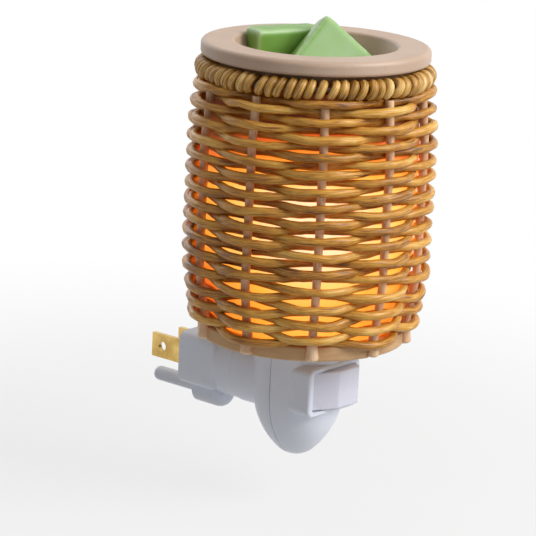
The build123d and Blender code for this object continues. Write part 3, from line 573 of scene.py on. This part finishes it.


# Painted shade: the hoop's cane is coloured dark so that the gaps between the wraps look shaded.
painted_shade_cane = cane_finish("Shaded cane", srgb(46, 28, 12), srgb(66, 42, 18), srgb(84, 56, 26),
                          srgb(104, 74, 38))
weave_cane = cane_finish("Weave cane", srgb(84, 46, 8), srgb(176, 116, 32), srgb(218, 158, 58),
                         srgb(246, 208, 124))
border_cane = cane_finish("Border cane", srgb(70, 42, 8), srgb(172, 122, 44), srgb(224, 178, 96),
                          srgb(250, 226, 168))
stake_cane = cane_finish("Stake cane", srgb(196, 146, 104), srgb(228, 182, 138), srgb(240, 202, 160),
                         srgb(248, 222, 192))
white_plastic = plastic_finish("White plastic", srgb(241, 245, 255), srgb(231, 236, 250), rough=0.36)
rocker_plastic = plastic_finish("Rocker plastic", srgb(230, 230, 243), srgb(219, 220, 236), rough=0.3)
inner_plastic = plastic_finish("Inner plastic", srgb(206, 198, 180), srgb(190, 182, 164), rough=0.5)
black_wire = plastic_finish("Black insulation", srgb(42, 42, 45), srgb(28, 28, 30), rough=0.45)
white_wire = plastic_finish("White insulation", srgb(232, 231, 226), srgb(214, 213, 208), rough=0.42)
brass = metal_finish("Brass", srgb(226, 192, 118), srgb(176, 138, 74), rough=0.27)
steel = metal_finish("Zinc-plated steel", srgb(206, 208, 212), srgb(150, 152, 158), rough=0.3)
ring_paint = plastic_finish("Support ring paint", srgb(176, 142, 110), srgb(156, 122, 92), rough=0.5)
dish_glaze = ceramic_finish()
green_wax = wax_finish()
base_board = board_finish()
lit_liner = liner_finish()
lamp_glass = lamp_glass_finish()
hot_filament = filament_finish()

FINISHES = {
    white_plastic: ["plug_block", "stabiliser_pin", "rear_shell", "front_shell"],
    rocker_plastic: ["switch_rocker"],
    inner_plastic: ["contact_carrier", "switch_case", "lamp_holder", "bulb_tip"],
    black_wire: ["live_lead", "switched_lead"],
    white_wire: ["neutral_lead"],
    brass: ["live_blade", "neutral_blade", "live_swivel_contact", "neutral_swivel_contact", "live_finger",
            "neutral_finger", "switch_terminals", "lamp_sleeve", "lamp_contact", "bulb_base"],
    steel: ["swivel_clip", "shell_screws", "base_screws"],
    base_board: ["base_disc"],
    ring_paint: ["dish_seat"],
    painted_shade_cane: ["border_hoop"],
    lamp_glass: ["bulb_glass", "bulb_stem"],
    hot_filament: ["bulb_filament"],
    dish_glaze: ["wax_dish"],
}
for finish, names in FINISHES.items():
    for name in names:
        nodes[name].data.materials.clear()
        nodes[name].data.materials.append(finish)


# Woven shade
def shade_radius(loom, height):
    """Distance of the stakes from the shade's axis: a belly drawn in at the foot and the border."""
    low = loom.remap(height, (FIRST_ROW_Z, BELLY_LOW), (STAKE_FOOT_RADIUS, BELLY_R))
    high = loom.remap(height, (BELLY_HIGH, STAKE_HEAD), (BELLY_R, HOOP_R))
    return loom.math("SMOOTH_MIN", low, high, BELLY_BLEND)


def on_axis(loom, radius, angle, height):
    """Place at a distance and an angle round the shade's axis."""
    x = radius * loom.math("COSINE", angle)
    y = radius * loom.math("SINE", angle) + SHADE_Y
    return loom.vector(x, y, height)


def woven_rows(name, first_row, material):
    """Every second row: canes that pass outside one stake and inside the next, three to a round."""
    loom = Loom(name, {"Rows": ROW_COUNT // 2, "First row": first_row, "Points per cane": WEAVE_POINTS,
                       "Row pitch": ROW_PITCH, "Cane radius": STRAND_R, "Swing": WEAVE_SWING,
                       "Overlap": CANE_OVERLAP})
    steps = loom.size("Points per cane")
    cane, share = loom.step(steps)
    turn = loom.group(cane, CANES_PER_ROUND)
    row = turn * 2 + loom.size("First row")

    # Way round the shade, and how far the cane is outside or inside the stakes
    stretch = FULL_TURN / CANES_PER_ROUND
    start = loom.random(0.0, FULL_TURN, row, seed=11) + (cane - turn * CANES_PER_ROUND) * stretch
    angle = start + share * (loom.size("Overlap") + stretch)
    phase = loom.math("COSINE", (angle - FIRST_STAKE) * (STAKE_COUNT / 2) - (row + 1) * math.pi)
    hug = phase * (1 + WEAVE_GRIP - phase * phase * WEAVE_GRIP)

    # Height and distance from the axis. The factors in a noise only keep rows and canes apart.
    round_place = loom.vector(loom.math("COSINE", angle) * 2, loom.math("SINE", angle) * 2, row * 3.7)
    drift = loom.wander(round_place, scale=1.3, detail=2.0)
    droop = loom.remap(row, DROOP_ROWS, DROOP, True) - loom.remap(row, LIFT_ROWS, LIFT)
    packed_down = loom.remap(row, FOOT_ROWS, FOOT_PACKING) * loom.remap(row, LOOSER_ROWS, LOOSENING)
    drawn_up = loom.remap(row, BORDER_ROWS, DRAWN_UP)
    start_end = loom.remap(share, CANE_START, (1.0, 0.0), True)
    far_end = loom.remap(share, CANE_END, (0.0, 1.0), True)
    level = FIRST_ROW_Z + row * loom.size("Row pitch") - packed_down + drawn_up
    height = level - hug * droop + drift * ROW_WANDER + (far_end - start_end) * END_SHIFT
    radius = shade_radius(loom, level) + loom.size("Swing") * hug + drift * DEPTH_WANDER

    # Thickness
    swell = loom.wander(loom.vector(angle * 4, row * 5.1, cane), scale=1.0, detail=2.0)
    knot_noise = loom.noise(loom.vector(angle * 9, row * 2.3, cane * 4), scale=1.0, detail=0.0)
    knot = loom.remap(knot_noise, KNOT_NOISE, CANE_KNOTS, True)
    body = loom.random(*CANE_THICKNESS, cane + row * 100, seed=5) + swell * CANE_SWELLING + knot
    tip = (loom.remap(share, CANE_START_TIP, CANE_START_TAPER, True)
           * loom.remap(share, CANE_END_TIP, CANE_END_TAPER, True))
    tone = loom.random(0.0, 1.0, cane + row * 50, seed=23)
    loom.canes(loom.size("Rows") * CANES_PER_ROUND, steps, on_axis(loom, radius, angle, height),
               loom.size("Cane radius") * body * tip, angle * BELLY_R, tone, WEAVE_SIDES, material)
    return loom.grown(name)


def upright_stakes(name, material):
    """Stakes from their thick rounded feet in the base's edge up into the border."""
    loom = Loom(name, {"Stakes": STAKE_COUNT, "Points per stake": STAKE_POINTS, "Stake radius": STAKE_R,
                       "Foot": STAKE_FOOT, "Head": STAKE_HEAD})
    steps = loom.size("Points per stake")
    stake, share = loom.step(steps)
    climb = loom.math("POWER", share, FOOT_CROWDING)
    height = loom.size("Foot") + (loom.size("Head") - loom.size("Foot")) * climb
    sway = loom.wander(loom.vector(stake * 3.1, climb * 3, 0.0), scale=1.0, detail=1.0)
    angle = stake * (FULL_TURN / STAKE_COUNT) + FIRST_STAKE + sway * STAKE_SWAY
    swollen = loom.remap(height, (STAKE_FOOT, STAKE_SWELLING_TOP), (STAKE_SWELLING, 0.0))
    foot = loom.remap(height, (STAKE_FOOT, STAKE_FOOT + STAKE_FOOT_ROUNDING), (0.0, 1.0))
    rounded = loom.math("SQRT", 1 - (1 - foot) * (1 - foot) * STAKE_FOOT_CLOSING)
    lumps = loom.wander(loom.vector(climb * 9, stake * 5.3, 0.0), scale=1.0, detail=2.0) * STAKE_LUMPS
    thickness = loom.size("Stake radius") * (swollen + lumps + 1.0) * rounded
    tone = loom.random(*STAKE_TONES, stake, seed=3)
    loom.canes(loom.size("Stakes"), steps, on_axis(loom, shade_radius(loom, height), angle, height),
               thickness, height, tone, STAKE_SIDES, material)
    return loom.grown(name)


def wrapped_border(name, material):
    """Short canes bent over the hoop side by side, slanting, seven between each two stakes."""
    loom = Loom(name, {"Wraps": STAKE_COUNT * WRAPS_PER_BAY, "Points per wrap": WRAP_POINTS,
                       "Wrap radius": WRAP_R, "Loop radius": WRAP_LOOP_R, "Slant": WRAP_SLANT,
                       "Pitch": WRAP_PITCH})
    steps = loom.size("Points per wrap")
    wrap, share = loom.step(steps)
    bay = loom.group(wrap, WRAPS_PER_BAY)
    from_middle = wrap - bay * WRAPS_PER_BAY - (WRAPS_PER_BAY - 1) / 2

    # Loop round the hoop, tilted by the slant
    angle = (bay + 0.5) * (FULL_TURN / STAKE_COUNT) + FIRST_STAKE + from_middle * loom.size("Pitch")
    angle = angle + loom.random(-WRAP_STRAYING, WRAP_STRAYING, wrap, seed=7)
    tilt = loom.random(-WRAP_TILTING, WRAP_TILTING, wrap, seed=9)
    slant = loom.size("Slant") + tilt - from_middle * WRAP_FANNING
    turn = WRAP_FROM + share * WRAP_SWEEP
    loop = loom.size("Loop radius") * loom.random(*WRAP_LOOSENESS, wrap, seed=13)
    rise = loop * loom.math("SINE", turn)
    radius = loop * loom.math("COSINE", turn) + HOOP_R
    sideways = rise * loom.math("SINE", slant) / HOOP_R
    height = rise * loom.math("COSINE", slant) + HOOP_Z

    # Thickness
    body = loom.random(*WRAP_THICKNESS, wrap, seed=15)
    lumps = loom.wander(loom.vector(share * 4, wrap * 3.3, 0.0), scale=1.0, detail=2.0) * WRAP_LUMPS
    ends = (loom.remap(share, WRAP_START_TIP, WRAP_START_TAPER, True)
            * loom.remap(share, WRAP_END_TIP, WRAP_END_TAPER, True))
    tone = loom.random(0.0, 1.0, wrap, seed=21)
    loom.canes(loom.size("Wraps"), steps, on_axis(loom, radius, angle + sideways, height),
               loom.size("Wrap radius") * (body + lumps) * ends, share * WRAP_LENGTH + wrap, tone,
               WRAP_SIDES, material)
    return loom.grown(name)


def join_to_body(piece, body, slot, *replaced):
    """Join a finished piece to its body and hide the nodes that it stands for. The slot is not used."""
    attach(piece, body)
    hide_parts(*replaced)


join_to_body(woven_rows("odd_weave_rows", 0, weave_cane), "housing", "weave_cane", "weave_odd_rows")
join_to_body(woven_rows("even_weave_rows", 1, weave_cane), "housing", "weave_cane", "weave_even_rows")
join_to_body(upright_stakes("upright_stakes", stake_cane), "housing", "stake_cane", "shade_stakes")
join_to_body(wrapped_border("wrapped_border", border_cane), "housing", "weave_cane", "border_wraps")


# Liner
def fluted_ring(name, profile, segments, material):
    """Ring about the shade's axis from a closed line of (radius, flute, height) points. Its flutes
    stand out between the stakes, where the weave leaves room."""
    count = len(profile)
    points = []
    faces = []
    for step in range(segments):
        turn = FULL_TURN * step / segments
        swell = 0.5 - 0.5 * math.cos(STAKE_COUNT * (turn - FIRST_STAKE))
        for radius, flute, height in profile:
            out = radius + flute * swell
            points.append((out * math.cos(turn), out * math.sin(turn) + SHADE_Y, height))
        here = step * count
        there = (step + 1) % segments * count
        for i in range(count):
            after = (i + 1) % count
            faces.append((here + i, there + i, there + after, here + after))
    mesh = bpy.data.meshes.new(name)
    mesh.from_pydata(points, [], faces)
    mesh.shade_smooth()
    mesh.materials.append(material)
    return add_object(name, mesh)


def snug_liner(name):
    """Liner that lies close inside the weave, drawn in at both ends to its two seats."""
    belly_r = (liner_high.x - liner_low.x) / 2
    end_r = STAKE_FOOT_RADIUS + belly_r - BELLY_R
    outside = [(end_r, 0, liner_low.z), (end_r, 0, FIRST_ROW_Z),
               (end_r, LINER_FLUTE, FIRST_ROW_Z + LINER_FLUTE),
               (belly_r, LINER_FLUTE, BELLY_LOW), (belly_r, LINER_FLUTE, BELLY_HIGH),
               (end_r + LINER_LIP, LINER_LIP, STAKE_HEAD - LINER_FLUTE),
               (end_r, 0, STAKE_HEAD + LINER_LIP), (end_r, 0, liner_high.z)]
    inside = [(radius - LINER_WALL, flute, height) for radius, flute, height in reversed(outside)]
    return fluted_ring(name, outside + inside, LINER_SEGMENTS, lit_liner)


join_to_body(snug_liner("lit_liner"), "housing", "amber_liner", "shade_liner")


# Wax
def soft_wax(name, node):
    """Block of wax with rounded edges and a painted highlight along them, from the frame's plain block."""
    piece = add_object(name, nodes[node].data.copy())
    remesh = piece.modifiers.new("Even skin", "REMESH")
    remesh.mode = "VOXEL"
    remesh.voxel_size = WAX_GRAIN
    swell = piece.modifiers.new("Full size", "DISPLACE")
    swell.strength = WAX_SWELL
    swell.mid_level = 0.0
    soften = piece.modifiers.new("Rounded edges", "SMOOTH")
    soften.factor = WAX_ROUNDING_FACTOR
    soften.iterations = WAX_ROUNDING
    make_plain(piece)
    mark_edges(piece.data)
    piece.data.shade_smooth()
    piece.data.materials.clear()
    piece.data.materials.append(green_wax)
    return piece


def mark_edges(mesh):
    """Store how sharply the skin turns at each point, so that the wax is painted paler at its edges as a
    highlight.
    """
    turn = [0.0] * len(mesh.vertices)
    count = [0] * len(mesh.vertices)
    for edge in mesh.edges:
        a, b = edge.vertices
        bend = 1 - mesh.vertices[a].normal.dot(mesh.vertices[b].normal)
        for vertex in (a, b):
            turn[vertex] += bend
            count[vertex] += 1
    values = [min(1.0, EDGE_GAIN * total / max(1, number)) for total, number in zip(turn, count)]
    for _ in range(EDGE_SPREAD):
        sums = list(values)
        for edge in mesh.edges:
            a, b = edge.vertices
            sums[a] += values[b]
            sums[b] += values[a]
        values = [total / (number + 1) for total, number in zip(sums, count)]
    edge_share = mesh.attributes.new("edge", "FLOAT", "POINT")
    edge_share.data.foreach_set("value", values)


join_to_body(soft_wax("flat_wax", "wax_melt_flat"), "wax", "green_wax", "wax_melt_flat")
join_to_body(soft_wax("leaning_wax", "wax_melt_leaning"), "wax", "green_wax", "wax_melt_leaning")


# Stage
def seen_directly(bench):
    """1 for rays that show the stage itself: straight to the camera, in gloss and through glass."""
    path = bench.node("ShaderNodeLightPath")
    straight = bench.math("MAXIMUM", bench.out(path, "Is Camera Ray"), bench.out(path, "Is Glossy Ray"))
    return bench.math("MAXIMUM", straight, bench.out(path, "Is Transmission Ray"))


def floor_finish():
    """Pale floor that keeps the shadow near the object and runs into the white background."""
    finish = Finish("Pale floor")
    place = finish.object_place()
    cloud = finish.noise(place, scale=3.0)
    finish.set(Base_Color=finish.shades(cloud, (0.3, (0.5, 0.5, 0.5, 1)), (0.7, (0.54, 0.54, 0.54, 1))))
    finish.gloss(cloud, 0.85, 0.95)
    finish.set(Specular_IOR_Level=0.1)
    away = finish.out(finish.node("ShaderNodeVectorMath", {"operation": "LENGTH"}, Vector=place), "Value")
    white = finish.node("ShaderNodeEmission", Color=(1, 1, 1, 1), Strength=1.0)
    share = finish.remap(away, FLOOR_NEAR_FAR, FLOOR_WHITENESS, True) * seen_directly(finish)
    blend = finish.node("ShaderNodeMixShader", Fac=share)
    links = finish.tree.links
    links.new(finish.shader.outputs[0], blend.inputs[1])
    links.new(white.outputs[0], blend.inputs[2])
    links.new(blend.outputs[0], finish.tree.nodes["Material Output"].inputs["Surface"])
    return finish.material


def pale_floor():
    """Floor below the lowest point of the shade when the plug is turned."""
    level = cad_box[0][0] - FLOOR_DROP
    corners = [(x * FLOOR_REACH, y * FLOOR_REACH, level) for x, y in ((-1, -1), (1, -1), (1, 1), (-1, 1))]
    mesh = bpy.data.meshes.new("floor")
    mesh.from_pydata(corners, [], [(0, 1, 2, 3)])
    mesh.materials.append(floor_finish())
    add_object("floor", mesh)


def studio_world():
    """Plain grey light all round, which the camera, gloss and glass see as white."""
    world = bpy.data.worlds.new("studio")
    world.use_nodes = True
    bpy.context.scene.world = world
    bench = Bench(world.node_tree)
    background = world.node_tree.nodes["Background"]
    background.inputs["Color"].default_value = (1.0, 1.0, 1.0, 1.0)
    bench.put(background.inputs["Strength"], bench.remap(seen_directly(bench), (0.0, 1.0), (ROOM_LIGHT, 1.0)))


def direction(azimuth, elevation):
    """Way out from the object, in degrees: azimuth from the front (-Y) towards +X, elevation upwards."""
    turn = math.radians(azimuth)
    rise = math.radians(elevation)
    return Vector((math.sin(turn) * math.cos(rise), -math.cos(turn) * math.cos(rise), math.sin(rise)))


def soft_lamp(name, azimuth, elevation, distance, size, power):
    """Square lamp that faces the middle of the object's height on the shade's axis."""
    light = bpy.data.lights.new(name, "AREA")
    light.size = size
    light.energy = power
    lamp = add_object(name, light)
    away = direction(azimuth, elevation)
    lamp.location = Vector((0, SHADE_Y, (cad_box[0][2] + cad_box[1][2]) / 2)) + away * distance
    lamp.rotation_euler = away.to_track_quat("Z", "Y").to_euler()


def photo_camera():
    """Camera at the photograph's place, turned by the photograph's roll."""
    back = direction(VIEW_AZIMUTH, VIEW_ELEVATION)
    level = direction(VIEW_AZIMUTH + 90, 0)
    roll = math.radians(VIEW_ROLL)
    right = level * math.cos(roll) + back.cross(level) * math.sin(roll)
    up = back.cross(right)
    camera = bpy.data.cameras.new("photo_camera")
    camera.lens = LENS
    camera.sensor_width = SENSOR
    camera.clip_start = NEAREST_SEEN
    viewer = add_object("photo_camera", camera)
    viewer.matrix_world = Matrix.Translation(EYE) @ Matrix((right, up, back)).transposed().to_4x4()
    bpy.context.scene.camera = viewer


pale_floor()
studio_world()
for lamp_name, lamp_values in LAMPS.items():
    soft_lamp(lamp_name, *lamp_values)
photo_camera()
bpy.context.scene.view_settings.view_transform = "Standard"
